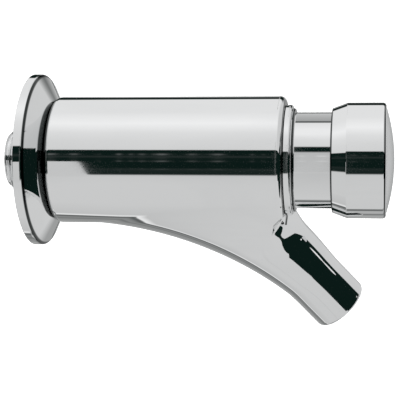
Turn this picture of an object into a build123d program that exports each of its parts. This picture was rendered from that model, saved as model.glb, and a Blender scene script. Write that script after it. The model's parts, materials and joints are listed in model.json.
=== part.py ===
from build123d import *
import math
import os

# Wall mounted push tap that closes by itself. Lengths are in mm and angles in degrees.
# X runs out from the wall along the barrel, Z is up, and the wall plane is X = 0.

# Wall flange, a turned cup with a conical face
flange_radius = 30.0
flange_rim = 3.2
flange_height = 8.0
flange_wall = 1.3
flange_rounding = 1.2

# Inlet tail with a G 1/2 male thread, 20.955 mm across
tail_radius = 10.4775
tail_length = 9.1
tail_chamfer = 0.8
tail_relief = 0.3
tail_wall = 2.3
strainer_ledge = 1.0
strainer_depth = 8.0

# Body round the cartridge. The barrel is as long and as wide as the cartridge needs.
barrel_wall = 5.0
barrel_rounding = 2.0
inlet_wall = 3.0
inlet_chamber_length = 13.0
inlet_ledge = 1.9
spigot_length = 8.0
outlet_gap = 2.6
thread_ledge = 1.2
thread_depth = 13.5

# Spout and the web that carries it
spout_radius = 10.4
spout_slope = 49.9
spout_bend = 128.2
spout_straight = 16.0
spout_rounding = 1.6
spout_wall = 1.9
web_start = -1.6
web_fullness = 1.14
web_sink = 0.04

# Outlet nozzle in the mouth of the spout
nozzle_length = 8.0
nozzle_wall = 1.9
nozzle_lip = 3.4
nozzle_recess = 0.4

# Cartridge housing
timing_bore = 11.0
housing_wall = 2.2
housing_flange = 4.0
housing_step = 1.7
outlet_room_wall = 3.4
outlet_room_length = 12.4
throat_length = 1.6
window_radius = 4.5
partition = 3.0
seat_wall = 3.3
seat_band = 3.2
seat_length = 3.0
seat_lip = 0.4
washer_room = 3.0

# Stem and what it carries
stem_radius = 4.0
stem_waist = 1.0
stem_waist_inset = 4.0
stem_spigot_radius = 2.5
stem_tip = 1.0
washer_gap = 0.8
washer_length = 3.0
washer_plate_length = 1.5
washer_plate_inset = 0.5
nut_length = 3.5
nut_across_flats = 7.0
shoulder_width = 1.6
shoulder_length = 2.0
clip_length = 0.9
clip_groove = 0.5

# Timing piston, its seal, its needle and the return spring
piston_gap = 0.4
piston_ledge = 0.85
piston_skirt = 2.0
piston_length = 6.0
rest_gap = 4.0
seal_length = 3.4
seal_wall = 0.45
seal_base = 1.2
orifice_radius = 0.8
needle_radius = 0.45
needle_inset = 2.4
needle_head_radius = 1.1
needle_head_length = 0.8
needle_overhang = 4.0
spring_wire = 1.1
spring_inset = 2.1
spring_turns = 5
spring_length = 17.5

# Guide bush that closes the timing cylinder
bush_spigot = 2.5
bush_flange = 3.0
bush_overlap = 0.7
bush_nose_wall = 3.6
bush_nose = 11.0

# Neck sleeve and the collar ring that it clamps
collar_band = 2.0
collar_length = 2.3
collar_bevel = 0.6
neck_step = 0.6
neck_shoulder = 1.0
neck_shoulder_band = 1.4
neck_wall = 2.5
neck_show = 12.4

# Push button
push_travel = 8.0
cap_gap = 0.6
cap_rim = 0.8
cap_flare = 1.9
cap_taper = 5.1
cap_length = 18.2
cap_rounding = 1.2
cap_border = 1.5
cap_roof = 2.0
cap_plate_depth = 2.4
hub_wall = 3.0
hub_spigot = 10.0
plate_crown = 2.7
glide_wall = 1.3
glide_length = 2.0
glide_inset = 2.1
screw_radius = 1.75
screw_length = 12.0
screw_head_radius = 3.4
screw_head = 2.3
screw_slot = 1.0

# Seals
o_ring = 1.8
thin_o_ring = 1.2
gasket_length = 1.8
gasket_band = 6.5
flange_ring = 2.4

# Strainer and flow regulator in the inlet
strainer_disc = 0.6
strainer_rim = 2.0
strainer_hole = 0.75
strainer_pitch = 2.4
regulator_length = 4.0
regulator_hole = 1.4
regulator_pitch_radius = 4.6
regulator_holes = 6
straightener_hole = 0.9
straightener_pitch = 2.35

# Clearances and the overrun of cuts
running_clearance = 0.05
seat_clearance = 0.05
loose_clearance = 0.3
roof_gap = 0.5
overrun = 1.0

# Radii of the cartridge, from the timing cylinder in and out
housing_radius = timing_bore + housing_wall
piston_radius = timing_bore - piston_gap
piston_core_radius = piston_radius - piston_ledge
needle_place_radius = timing_bore - needle_inset
spring_mean_radius = needle_place_radius - spring_inset
clip_radius = spring_mean_radius - spring_wire
outlet_room_radius = housing_radius - outlet_room_wall
spigot_bore = housing_radius - housing_step
seat_pocket_radius = spigot_bore - seat_wall
throat_radius = seat_pocket_radius - seat_band
washer_radius = seat_pocket_radius - washer_gap
washer_plate_radius = washer_radius - washer_plate_inset
stem_waist_radius = stem_radius - stem_waist
shoulder_radius = stem_radius + shoulder_width
bush_nose_radius = stem_radius + bush_nose_wall

# Radii of the body and of what is screwed into it
inlet_chamber_radius = spigot_bore - inlet_ledge
outlet_chamber_radius = housing_radius + outlet_gap
thread_bore = outlet_chamber_radius + thread_ledge
barrel_radius = thread_bore + barrel_wall
strainer_bore = tail_radius - tail_wall
tail_bore = strainer_bore - strainer_ledge
collar_radius = thread_bore + collar_band
neck_radius = thread_bore - neck_step
neck_shoulder_radius = neck_radius + neck_shoulder_band
neck_bore = neck_radius - neck_wall
bush_flange_radius = neck_bore + bush_overlap

# Radii of the button and of the nozzle
cap_bore = neck_radius + cap_gap
cap_rear_radius = cap_bore + cap_rim
cap_radius = cap_rear_radius + cap_flare
plate_radius = cap_radius - cap_border
glide_radius = neck_radius + glide_wall
hub_spigot_radius = stem_waist_radius
hub_radius = hub_spigot_radius + hub_wall
nozzle_radius = spout_radius - spout_wall
nozzle_bore = nozzle_radius - nozzle_wall

# Stations along the barrel from the wall outwards
body_back = flange_height
chamber_back = body_back + inlet_wall
spigot_back = chamber_back + inlet_chamber_length
outlet_back = spigot_back + spigot_length
seat_back = spigot_back + washer_room
washer_front = seat_back - seat_lip
seat_front = seat_back + seat_length
room_back = seat_front + throat_length
partition_back = room_back + outlet_room_length
partition_front = partition_back + partition
piston_back = partition_front + spring_length
piston_front = piston_back + piston_length
timing_front = piston_front + shoulder_length + rest_gap + bush_spigot
bush_front = timing_front + bush_flange
thread_back = timing_front - housing_flange
body_front = thread_back + thread_depth

collar_front = body_front + collar_length
neck_start = collar_front + neck_shoulder
cap_back = neck_start + neck_show
cap_front = cap_back + cap_length
plate_back = cap_front - cap_plate_depth
roof_back = plate_back - cap_roof
neck_end = roof_back - push_travel - roof_gap

# The lower edge of the web bends from the barrel's axis to the slope of the spout
full_turn = math.radians(spout_slope)


def turned(outline, rounds=()):
    """Solid of revolution about the X axis, from an outline of (x, radius) corners."""
    profile = make_face(Polyline(*outline, close=True))
    for corner, radius in rounds:
        vertex = profile.vertices().sort_by_distance(Vector(*corner))[0]
        profile = fillet(vertex, radius)
    return revolve(Plane.XZ * profile, Axis.X)


def tube(back, front, inner, outer):
    """Plain ring about the X axis."""
    return turned([(back, inner), (back, outer), (front, outer), (front, inner)])


def o_ring_at(x, mean_radius, section):
    """Ring of round section about the X axis."""
    return revolve(Plane.XZ * Pos(x, mean_radius) * Circle(section / 2), Axis.X)


def across(x):
    """Plane square to the X axis, looking out from the wall."""
    return Plane(origin=(x, 0, 0), x_dir=(0, 1, 0), z_dir=(1, 0, 0))


def groove_ring(bore_radius, section):
    """Mean radius of a ring of this section that lies just inside a bore."""
    return bore_radius - section / 2 - seat_clearance


# Web and spout
def spine_point(turn):
    x = web_start + spout_bend * math.sin(turn)
    z = spout_bend * (math.cos(turn) - 1)
    return Vector(x, 0, z)


def spine_plane(turn):
    """Plane square to the lower spine, with its second axis pointing up."""
    normal = (math.cos(turn), 0, -math.sin(turn))
    return Plane(origin=spine_point(turn), x_dir=(0, 1, 0), z_dir=normal)


def spine_radius(turn):
    """The lower edge of the web narrows to the spout, slower at first where the fullness is over 1."""
    narrowed_share = (turn / full_turn) ** web_fullness
    return barrel_radius + (spout_radius - barrel_radius) * narrowed_share


def edge_section(turn):
    """Round slice of the web's lower edge."""
    return spine_plane(turn) * Circle(spine_radius(turn))


def halved(low, high, is_below):
    """The value between two limits where the test turns from true to false."""
    for _ in range(40):
        middle = (low + high) / 2
        if is_below(middle):
            low = middle
        else:
            high = middle
    return low


def leaving_turn():
    """Turn at which the lower edge comes out of the barrel."""

    def is_inside(turn):
        depth = spine_radius(turn) * math.cos(turn) - spine_point(turn).Z
        return depth < barrel_radius

    return halved(0, full_turn, is_inside)


def flank_section(turn):
    """Slice between two flat flanks that touch the lower edge and the barrel, both sunk a hair."""
    axis_height = -spine_point(turn).Z / math.cos(turn)
    edge = spine_radius(turn) - web_sink
    side = barrel_radius - web_sink
    rise = side / math.cos(turn)

    def is_upright(lean):
        reach = math.hypot(side * math.cos(lean), rise * math.sin(lean))
        return reach - axis_height * math.sin(lean) > edge

    lean = halved(0, math.pi / 2, is_upright)
    reach = math.hypot(side * math.cos(lean), rise * math.sin(lean))
    low_y = edge * math.cos(lean)
    low_z = -edge * math.sin(lean)
    high_y = side * side * math.cos(lean) / reach
    high_z = axis_height - rise * rise * math.sin(lean) / reach
    corners = [(-low_y, low_z), (low_y, low_z), (high_y, high_z), (-high_y, high_z)]
    return spine_plane(turn) * make_face(Polyline(*corners, close=True))


def turns(first, count):
    """Evenly spaced turns from the first one to the slope of the spout."""
    step = (full_turn - first) / (count - 1)
    return [first + step * i for i in range(count)]


def spout_mouth(inset=0):
    """Plane of the spout's mouth, or one set back from it, looking out of the spout."""
    return spine_plane(full_turn).offset(spout_straight - inset)


def web_and_spout():
    """Lower edge of the web, straight end of the spout and the flat flanked web behind it."""
    leaving = leaving_turn()
    hidden_share = 0.75
    narrow_share = 0.1
    edge = loft([edge_section(turn) for turn in turns(leaving * hidden_share, 8)])
    end = extrude(spine_plane(full_turn) * Circle(spout_radius), amount=spout_straight)
    mouth_face = end.faces().sort_by_distance(spout_mouth().origin)[0]
    end = fillet(mouth_face.edges(), spout_rounding)
    flank = loft([flank_section(turn) for turn in turns(leaving + narrow_share * (full_turn - leaving), 9)])
    behind = Plane(origin=(body_front, 0, 0), z_dir=(-1, 0, 0))
    flank = split(flank, bisect_by=behind, keep=Keep.TOP)
    front_edges = flank.faces().sort_by(Axis.X)[-1].edges().sort_by(Axis.Y)
    flank = fillet([front_edges[0], front_edges[-1]], barrel_rounding)
    return edge, end, flank


def waterway():
    """Everything that is bored out of the body along the barrel."""
    step_back = strainer_depth - tail_length
    outline = [
        (-tail_length - overrun, 0),
        (-tail_length - overrun, strainer_bore),
        (step_back, strainer_bore),
        (step_back, tail_bore),
        (chamber_back, tail_bore),
        (chamber_back, inlet_chamber_radius),
        (spigot_back, inlet_chamber_radius),
        (spigot_back, spigot_bore),
        (outlet_back, spigot_bore),
        (outlet_back, outlet_chamber_radius),
        (thread_back, outlet_chamber_radius),
        (thread_back, thread_bore),
        (body_front + overrun, thread_bore),
        (body_front + overrun, 0),
    ]
    return turned(outline)


def outlet_channel():
    """Curved channel from the outlet chamber down the web to the mouth."""
    start_share = 0.36
    middle_share = (1 + start_share) / 2
    start = spine_point(start_share * full_turn)
    middle = spine_point(middle_share * full_turn)
    end = spine_point(full_turn)
    path = ThreePointArc(start, middle, end) + Line(end, spout_mouth().origin)
    channel = sweep(spine_plane(start_share * full_turn) * Circle(nozzle_bore), path=path)
    depth = nozzle_length + nozzle_recess + thin_o_ring
    mouth = extrude(spout_mouth(depth) * Circle(nozzle_radius + seat_clearance), amount=depth + overrun)
    return channel, mouth


def body_casting():
    barrel = turned(
        [(body_back, 0), (body_back, barrel_radius), (body_front, barrel_radius), (body_front, 0)],
        rounds=[
            ((body_back, barrel_radius), barrel_rounding),
            ((body_front, barrel_radius), barrel_rounding),
        ],
    )
    tail = turned(
        [
            (-tail_length, 0),
            (-tail_length, tail_radius - tail_chamfer),
            (tail_chamfer - tail_length, tail_radius),
            (0, tail_radius),
            (0, tail_radius - tail_relief),
            (body_back + overrun, tail_radius - tail_relief),
            (body_back + overrun, 0),
        ]
    )
    edge, end, flank = web_and_spout()
    body = barrel + flank + edge + end
    collar_room = collar_radius + loose_clearance
    body -= tube(body_front, neck_start + overrun, 0, collar_room)
    body += tail
    body -= waterway()
    for cut in outlet_channel():
        body -= cut
    return body


def wall_flange():
    land = barrel_radius - barrel_rounding
    hole = tail_radius + seat_clearance
    cone = math.atan2(flange_height - flange_rim, flange_radius - land)
    rim_inset = flange_wall * math.tan((math.pi / 2 - cone) / 2)
    land_inset = flange_wall * math.tan(cone / 2)
    outline = [
        (0, flange_radius),
        (flange_rim, flange_radius),
        (flange_height, land),
        (flange_height, hole),
        (flange_height - flange_wall, hole),
        (flange_height - flange_wall, land - land_inset),
        (flange_rim - rim_inset, flange_radius - flange_wall),
        (0, flange_radius - flange_wall),
    ]
    return turned(outline, rounds=[((flange_rim, flange_radius), flange_rounding)])


def wall_gasket():
    outer = flange_radius - flange_wall
    return tube(0, gasket_length, outer - gasket_band, outer)


def flange_o_ring():
    x = flange_height - flange_wall - flange_ring / 2
    return o_ring_at(x, tail_radius - tail_relief + flange_ring / 2, flange_ring)


def hole_pattern(pitch, rings):
    """Places of holes in a hexagonal field."""
    places = [(0, 0)]
    for ring in range(1, rings + 1):
        for i in range(6 * ring):
            side, step = divmod(i, ring)
            a = math.radians(60 * side)
            b = math.radians(60 * side + 120)
            y = pitch * (ring * math.cos(a) + step * math.cos(b))
            z = pitch * (ring * math.sin(a) + step * math.sin(b))
            places.append((y, z))
    return places


def inlet_strainer():
    front = strainer_depth - tail_length - regulator_length
    outer = strainer_bore - seat_clearance
    holes = [Pos(y, z) * Circle(strainer_hole) for y, z in hole_pattern(strainer_pitch, 2)]
    disc = extrude(across(front - strainer_disc) * (Circle(outer) - holes), amount=strainer_disc)
    rim = tube(front - strainer_rim, front - strainer_disc, outer - strainer_disc, outer)
    return disc + rim


def flow_regulator():
    front = strainer_depth - tail_length
    outer = strainer_bore - seat_clearance
    holes = PolarLocations(regulator_pitch_radius, regulator_holes) * Circle(regulator_hole)
    body = extrude(across(front - regulator_length) * (Circle(outer) - holes), amount=regulator_length)
    dish = tube(front - regulator_length, front - regulator_length / 2, 0, outer - strainer_disc * 2)
    boss = tube(front - regulator_length / 2 - overrun, front - regulator_length / 2, 0, regulator_hole)
    return body - dish + boss


def valve_seat():
    outer = seat_pocket_radius
    lip_radius = throat_radius + seat_lip
    return turned(
        [
            (seat_front, throat_radius),
            (seat_front, outer),
            (seat_back, outer),
            (seat_back, lip_radius + 2 * seat_lip),
            (seat_back - seat_lip, lip_radius + seat_lip),
            (seat_back - seat_lip, lip_radius),
            (seat_back, throat_radius),
        ]
    )


def cartridge_housing():
    spigot = spigot_bore - seat_clearance
    shoulder_back = outlet_back + loose_clearance
    flange_outer = thread_bore - seat_clearance
    flange_front = timing_front
    outline = [
        (spigot_back + seat_clearance, seat_pocket_radius),
        (spigot_back + seat_clearance, spigot),
        (shoulder_back - loose_clearance * 2, spigot),
        (shoulder_back - loose_clearance * 2, spigot - seat_clearance),
        (shoulder_back, spigot - seat_clearance),
        (shoulder_back, housing_radius),
        (thread_back, housing_radius),
        (thread_back, flange_outer),
        (flange_front, flange_outer),
        (flange_front, timing_bore),
        (partition_front, timing_bore),
        (partition_front, stem_radius + running_clearance),
        (partition_back, stem_radius + running_clearance),
        (partition_back, outlet_room_radius),
        (room_back, outlet_room_radius),
        (room_back, throat_radius),
        (seat_front, throat_radius),
        (seat_front, seat_pocket_radius),
    ]
    housing = turned(outline)
    window_x = (shoulder_back + partition_back) / 2
    window = Cylinder(window_radius, 2 * housing_radius + overrun)
    housing -= Pos(window_x, 0, 0) * window
    housing -= Pos(window_x, 0, 0) * Rot(X=90) * window
    for groove in housing_grooves():
        housing -= groove
    drilling = across(partition_back - overrun) * Pos(0, needle_place_radius) * Circle(needle_radius)
    housing -= extrude(drilling, amount=partition + 2 * overrun)
    return housing


def housing_groove_places():
    """Middle and bore of the two grooves for the housing's rings."""
    rear = spigot_back + spigot_length / 2
    front = thread_back + housing_flange / 2
    return [(rear, spigot_bore), (front, thread_bore)]


def housing_grooves():
    half = o_ring / 2 + seat_clearance
    return [
        tube(x - half, x + half, bore - o_ring - 2 * seat_clearance, bore + overrun)
        for x, bore in housing_groove_places()
    ]


def housing_o_rings():
    rings = [o_ring_at(x, groove_ring(bore, o_ring), o_ring) for x, bore in housing_groove_places()]
    return Compound(children=[ring.solid() for ring in rings])


def timing_needle():
    place = Pos(0, needle_place_radius)
    head = across(partition_back - needle_head_length) * place * Circle(needle_head_radius)
    wire = across(partition_back) * place * Circle(needle_radius)
    length = piston_front + needle_overhang - partition_back
    return extrude(head, amount=needle_head_length) + extrude(wire, amount=length)


def guide_bush():
    bore = stem_radius + running_clearance
    spigot = timing_bore - seat_clearance
    outline = [
        (timing_front - bush_spigot, bore),
        (timing_front - bush_spigot, spigot),
        (timing_front, spigot),
        (timing_front, bush_flange_radius),
        (bush_front, bush_flange_radius),
        (bush_front, bush_nose_radius),
        (bush_front + bush_nose, bush_nose_radius),
        (bush_front + bush_nose, bore),
    ]
    bush = turned(outline)
    x = stem_ring_place()
    half = o_ring / 2 + seat_clearance
    bush -= tube(x - half, x + half, 0, stem_radius + o_ring + 2 * seat_clearance)
    return bush


def stem_ring_place():
    return bush_front + bush_nose / 3


def stem_o_ring():
    return o_ring_at(stem_ring_place(), stem_radius + o_ring / 2 + seat_clearance, o_ring - seat_clearance)


def neck_sleeve():
    outline = [
        (bush_front, neck_bore),
        (bush_front, thread_bore - seat_clearance),
        (collar_front, thread_bore - seat_clearance),
        (collar_front, neck_shoulder_radius),
        (neck_start, neck_shoulder_radius),
        (neck_start, neck_radius),
        (neck_end, neck_radius),
        (neck_end, neck_bore),
    ]
    rounds = [
        ((neck_start, neck_shoulder_radius), neck_shoulder / 2),
        ((neck_end, neck_radius), neck_shoulder / 2),
    ]
    sleeve = turned(outline, rounds)
    x = neck_ring_place()
    half = thin_o_ring / 2 + seat_clearance
    sleeve -= tube(x - half, x + half, thread_bore - thin_o_ring - 2 * seat_clearance, thread_bore)
    return sleeve


def neck_ring_place():
    return (bush_front + body_front) / 2


def neck_o_ring():
    return o_ring_at(neck_ring_place(), groove_ring(thread_bore, thin_o_ring), thin_o_ring)


def collar_ring():
    outline = [
        (body_front, thread_bore),
        (body_front, collar_radius),
        (collar_front, collar_radius),
        (collar_front, thread_bore),
    ]
    return turned(outline, rounds=[((collar_front, collar_radius), collar_bevel)])


def outlet_nozzle():
    inner = nozzle_radius - overrun
    back = nozzle_length + nozzle_recess
    body = extrude(spout_mouth(back) * Circle(nozzle_radius), amount=nozzle_length)
    body -= extrude(spout_mouth(back) * Circle(inner), amount=nozzle_length - nozzle_lip)
    body -= extrude(spout_mouth(back) * Circle(nozzle_bore), amount=nozzle_length)
    return body


def flow_straightener():
    back = nozzle_length + nozzle_recess
    outer = nozzle_radius - overrun - seat_clearance
    holes = [Pos(y, z) * Circle(straightener_hole) for y, z in hole_pattern(straightener_pitch, 2)]
    return extrude(spout_mouth(back) * (Circle(outer) - holes), amount=nozzle_length - nozzle_lip)


def outlet_o_ring():
    place = spout_mouth(nozzle_length + nozzle_recess + thin_o_ring / 2)
    return place * Torus(nozzle_radius - thin_o_ring / 2, thin_o_ring / 2 - seat_clearance / 2)


# What slides with the button
def stem():
    spigot_end = washer_front - washer_length - washer_plate_length - nut_length - stem_tip
    waist_front = partition_back - stem_waist_inset
    clip_back = piston_back - running_clearance * 2 - clip_length
    outline = [
        (spigot_end, 0),
        (spigot_end, stem_spigot_radius),
        (washer_front, stem_spigot_radius),
        (washer_front, stem_waist_radius),
        (waist_front, stem_waist_radius),
        (waist_front, stem_radius),
        (clip_back, stem_radius),
        (clip_back, stem_radius - clip_groove),
        (clip_back + clip_length, stem_radius - clip_groove),
        (clip_back + clip_length, stem_radius),
        (piston_front, stem_radius),
        (piston_front, shoulder_radius),
        (piston_front + shoulder_length, shoulder_radius),
        (piston_front + shoulder_length, stem_radius),
        (cap_back, stem_radius),
        (cap_back, hub_spigot_radius),
        (cap_back + hub_spigot, hub_spigot_radius),
        (cap_back + hub_spigot, screw_radius),
        (plate_back - screw_length, screw_radius),
        (plate_back - screw_length, 0),
    ]
    return turned(outline)


def piston():
    bore = stem_radius + running_clearance
    outline = [
        (piston_back, bore),
        (piston_back, piston_radius),
        (piston_back + piston_skirt, piston_radius),
        (piston_back + piston_skirt, piston_core_radius),
        (piston_front, piston_core_radius),
        (piston_front, bore),
    ]
    body = turned(outline)
    hole = across(piston_back - overrun) * Pos(0, needle_place_radius) * Circle(orifice_radius)
    return body - extrude(hole, amount=piston_length + 2 * overrun)


def lip_seal():
    """Cup with a thin outer lip that opens towards the button."""
    back = piston_back + piston_skirt
    inner = piston_core_radius
    outer = timing_bore - running_clearance
    outline = [
        (back, inner),
        (back, outer - seal_wall / 2),
        (back + seal_length, outer),
        (back + seal_length, outer - seal_wall),
        (back + seal_base, inner + seal_wall),
        (back + seal_base, inner),
    ]
    return turned(outline)


def piston_clip():
    clip_front = piston_back - running_clearance * 2
    return tube(clip_front - clip_length, clip_front, stem_radius - clip_groove, clip_radius)


def main_washer():
    back = washer_front - washer_length
    outline = [
        (back, stem_spigot_radius),
        (back, washer_radius),
        (washer_front, washer_radius),
        (washer_front, stem_spigot_radius),
    ]
    return turned(outline, rounds=[((back, washer_radius), washer_length / 4)])


def washer_plate():
    front = washer_front - washer_length
    return tube(front - washer_plate_length, front, stem_spigot_radius, washer_plate_radius)


def washer_nut():
    front = washer_front - washer_length - washer_plate_length
    hexagon = RegularPolygon(nut_across_flats / 2, 6, major_radius=False)
    blank = extrude(across(front - nut_length) * (hexagon - Circle(stem_spigot_radius)), amount=nut_length)
    return blank


def wire_point(turn_share):
    """Point of the spring's centre line, with its direction."""
    start = partition_front + spring_wire / 2 + seat_clearance
    rise = piston_back - spring_wire / 2 - seat_clearance - start
    angle = 2 * math.pi * spring_turns * turn_share
    y = spring_mean_radius * math.cos(angle)
    z = spring_mean_radius * math.sin(angle)
    slope = rise / (2 * math.pi * spring_turns)
    direction = Vector(slope, -z, y).normalized()
    return Vector(start + rise * turn_share, y, z), direction


def biarc(start, start_way, end, end_way):
    """Two tangent arcs from one point and direction to another."""
    chord = end - start
    ways = start_way + end_way
    spread = 2 * (1 - start_way.dot(end_way))
    along = chord.dot(ways)
    arm = (math.sqrt(along * along + spread * chord.dot(chord)) - along) / spread
    middle = (start + start_way * arm + end - end_way * arm) * 0.5
    first = Edge.make_tangent_arc(start, start_way, middle)
    second = Edge.make_tangent_arc(end, end_way * -1, middle)
    return [first, second]


def return_spring():
    """Coil spring as one wire, swept along a chain of tangent arcs."""
    steps = spring_turns * 4
    edges = []
    for i in range(steps):
        start, start_way = wire_point(i / steps)
        end, end_way = wire_point((i + 1) / steps)
        edges += biarc(start, start_way, end, end_way)
    path = Wire(edges)
    first, way = wire_point(0)
    section = Plane(origin=first, z_dir=way) * Circle(spring_wire / 2)
    return sweep(section, path=path)


def spring_gap():
    """Least gap between one turn of the spring and the next."""
    points = [wire_point(i / 400)[0] for i in range(401)]
    per_turn = 400 // spring_turns
    nearest = min(
        (points[i] - points[j]).length
        for i in range(0, 401, 4)
        for j in range(i + per_turn // 2, 401, 2)
    )
    return nearest - spring_wire


# Push button
def button_cap():
    glide_back = cap_back + glide_inset
    outline = [
        (cap_back, cap_bore),
        (cap_back, cap_rear_radius),
        (cap_back + cap_taper, cap_radius),
        (cap_front, cap_radius),
        (cap_front, plate_radius),
        (plate_back, plate_radius),
        (plate_back, screw_head_radius + seat_clearance),
        (plate_back - screw_head, screw_head_radius + seat_clearance),
        (plate_back - screw_head, screw_radius + seat_clearance),
        (cap_back + hub_spigot, screw_radius + seat_clearance),
        (cap_back + hub_spigot, hub_spigot_radius),
        (cap_back, hub_spigot_radius),
        (cap_back, hub_radius),
        (roof_back, hub_radius),
        (roof_back, cap_bore),
        (glide_back + glide_length, cap_bore),
        (glide_back + glide_length, glide_radius),
        (glide_back, glide_radius),
        (glide_back, cap_bore),
    ]
    return turned(outline, rounds=[((cap_front, cap_radius), cap_rounding)])


def cap_glide():
    """Plastic ring in the button that runs on the neck."""
    back = cap_back + glide_inset
    return tube(back, back + glide_length, neck_radius + running_clearance, glide_radius)


def button_plate():
    """Domed plate let into the front of the button."""
    outer = plate_radius - seat_clearance
    rim_front = plate_back + cap_plate_depth
    crown_front = rim_front + plate_crown
    crown_radius = (outer * outer + plate_crown * plate_crown) / (2 * plate_crown)
    middle_angle = math.asin(outer / crown_radius) / 2
    middle = (
        crown_front - crown_radius * (1 - math.cos(middle_angle)),
        crown_radius * math.sin(middle_angle),
    )
    lines = [
        Line((plate_back, 0), (plate_back, outer)),
        Line((plate_back, outer), (rim_front, outer)),
        ThreePointArc((rim_front, outer), middle, (crown_front, 0)),
        Line((crown_front, 0), (plate_back, 0)),
    ]
    return revolve(Plane.XZ * make_face(lines), Axis.X)


def button_screw():
    tip = plate_back - screw_length
    head_back = plate_back - screw_head
    head_front = plate_back - seat_clearance
    outline = [
        (tip, 0),
        (tip, screw_radius),
        (head_back, screw_radius),
        (head_back, screw_head_radius),
        (head_front, screw_head_radius),
        (head_front, 0),
    ]
    screw = turned(outline)
    slot = Box(screw_head, 2 * screw_head_radius + overrun, screw_slot)
    return screw - Pos(head_front, 0, 0) * slot


def main():
    os.makedirs("parts", exist_ok=True)
    pieces = {
        "body_casting": body_casting,
        "wall_flange": wall_flange,
        "wall_gasket": wall_gasket,
        "flange_o_ring": flange_o_ring,
        "inlet_strainer": inlet_strainer,
        "flow_regulator": flow_regulator,
        "valve_seat": valve_seat,
        "cartridge_housing": cartridge_housing,
        "housing_o_rings": housing_o_rings,
        "timing_needle": timing_needle,
        "guide_bush": guide_bush,
        "stem_o_ring": stem_o_ring,
        "neck_sleeve": neck_sleeve,
        "neck_o_ring": neck_o_ring,
        "collar_ring": collar_ring,
        "outlet_nozzle": outlet_nozzle,
        "outlet_o_ring": outlet_o_ring,
        "flow_straightener": flow_straightener,
        "return_spring": return_spring,
        "piston": piston,
        "lip_seal": lip_seal,
        "piston_clip": piston_clip,
        "stem": stem,
        "main_washer": main_washer,
        "washer_plate": washer_plate,
        "washer_nut": washer_nut,
        "button_cap": button_cap,
        "cap_glide": cap_glide,
        "button_plate": button_plate,
        "button_screw": button_screw,
    }
    for name, make in pieces.items():
        export_step(make(), f"parts/{name}.step")
    print("least gap between the turns of the spring:", round(spring_gap(), 2), "mm")


main()
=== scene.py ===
import json
import math

import bpy
import numpy as np
from mathutils import Matrix, Vector


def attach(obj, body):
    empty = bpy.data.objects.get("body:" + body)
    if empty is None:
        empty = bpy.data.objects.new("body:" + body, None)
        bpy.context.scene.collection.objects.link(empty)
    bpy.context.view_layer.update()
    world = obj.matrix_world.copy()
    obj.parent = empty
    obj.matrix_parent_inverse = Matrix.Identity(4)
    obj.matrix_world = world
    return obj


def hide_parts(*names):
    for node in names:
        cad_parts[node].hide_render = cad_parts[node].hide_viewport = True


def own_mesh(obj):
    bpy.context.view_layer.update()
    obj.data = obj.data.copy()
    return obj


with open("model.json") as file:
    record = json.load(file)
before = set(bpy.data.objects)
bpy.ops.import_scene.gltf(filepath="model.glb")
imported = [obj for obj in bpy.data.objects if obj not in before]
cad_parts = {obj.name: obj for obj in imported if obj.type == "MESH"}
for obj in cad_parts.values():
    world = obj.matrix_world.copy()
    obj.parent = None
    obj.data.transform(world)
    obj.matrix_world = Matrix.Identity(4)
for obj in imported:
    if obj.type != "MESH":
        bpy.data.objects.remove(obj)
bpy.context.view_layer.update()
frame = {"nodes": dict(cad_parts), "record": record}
mm = 0.001
fullTurn = 2 * math.pi


# node helpers: a value that is a socket is linked, anything else is set
def put(tree, kind, values=None, **props):
    made = tree.nodes.new(kind)
    for key, value in props.items():
        setattr(made, key, value)
    for key, value in (values or {}).items():
        if isinstance(value, bpy.types.NodeSocket):
            tree.links.new(value, made.inputs[key])
        else:
            made.inputs[key].default_value = value
    return made


def calc(tree, operation, *values):
    return put(tree, "ShaderNodeMath", dict(enumerate(values)), operation=operation).outputs[0]


# share of the way from low to high, clamped, as a value between first and last
def ranged(tree, value, low, high, first=0.0, last=1.0):
    return put(tree, "ShaderNodeMapRange",
               {"Value": value, "From Min": low, "From Max": high, "To Min": first, "To Max": last},
               clamp=True).outputs[0]


def newGroup(name, kind, inputs, outputs):
    group = bpy.data.node_groups.new(name, kind)
    for label, socketType, value in inputs:
        socket = group.interface.new_socket(label, in_out="INPUT", socket_type=socketType)
        if value is not None:
            socket.default_value = value
    for label, socketType in outputs:
        group.interface.new_socket(label, in_out="OUTPUT", socket_type=socketType)
    return group, group.nodes.new("NodeGroupInput"), group.nodes.new("NodeGroupOutput")


# place along the barrel's axis, and distance from it
def axisPlace(tree, vector):
    parts = put(tree, "ShaderNodeSeparateXYZ", {0: vector})
    ySquared = calc(tree, "MULTIPLY", parts.outputs[1], parts.outputs[1])
    zSquared = calc(tree, "MULTIPLY", parts.outputs[2], parts.outputs[2])
    return parts.outputs[0], calc(tree, "SQRT", calc(tree, "ADD", ySquared, zSquared))


# how much each kind of surface shows of its film, marks and grain
surface = {
    "filmSize": 60.0,
    "filmShare": (0.45, 0.75),
    "filmRoughness": 0.09,
    "rippleSize": 70.0,
    "markDepth": 0.3,
    "markRoughness": 0.08,
    "markStrength": 0.25,
    "markHeight": 0.00002,
    "cloudSize": 120.0,
    "grainRoughness": 0.12,
    "grainStrength": 0.4,
}


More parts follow.
